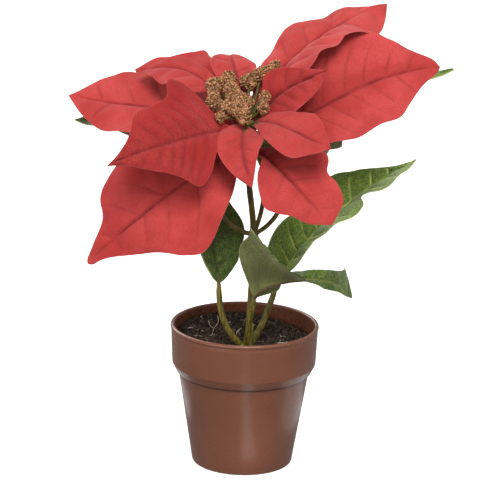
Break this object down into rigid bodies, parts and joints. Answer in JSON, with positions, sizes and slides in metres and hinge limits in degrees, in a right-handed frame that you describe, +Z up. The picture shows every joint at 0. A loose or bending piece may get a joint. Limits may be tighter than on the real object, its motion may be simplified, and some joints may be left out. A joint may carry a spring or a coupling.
{
  "type": "potted artificial poinsettia",
  "caption": "Small potted fabric poinsettia: one tilted bloom of waved red bracts round crusty tan heads, with green leaves on wired stems in a round nursery pot, for table decoration.",
  "frame": {"origin": "centre of the pot's flat underside", "axes": "+Z up; the bloom leans towards -Y, its front"},
  "size_m": [0.233, 0.1547, 0.2767],
  "materials": {
    "pot": "satin terracotta-brown moulded plastic",
    "soil": "matt dark brown granules with a few pale fibres",
    "stems": "ridged olive-brown sleeve over wire",
    "leaf": "printed green cloth, light veins above and grey-green below",
    "bract": "matt red velvet with pressed veins",
    "cyathium": "tan crumb coating with green tints"
  },
  "bodies": {
    "root": {"pot": "pot", "soil": "soil", "stems": "stems", "leaf_low_left": "leaf", "leaf_front": "leaf", "leaf_right": "leaf", "leaf_upper_right": "leaf", "leaf_upper_left": "leaf", "leaf_back": "leaf", "bract_right": "bract", "bract_back_right": "bract", "bract_back_left": "bract", "bract_left": "bract", "bract_front_left": "bract", "bract_low_left": "bract", "bract_low_right": "bract", "bract_small_right": "bract", "bract_small_low_right": "bract", "bract_small_front": "bract", "bract_small_left": "bract", "bract_small_back": "bract", "cyathium_1": "cyathium", "cyathium_2": "cyathium", "cyathium_3": "cyathium", "cyathium_4": "cyathium", "cyathium_5": "cyathium", "cyathium_6": "cyathium", "cyathium_7": "cyathium", "cyathium_8": "cyathium", "cyathium_9": "cyathium", "cyathium_10": "cyathium", "cyathium_11": "cyathium", "cyathium_12": "cyathium", "cyathium_13": "cyathium"}
  },
  "joints": []
}
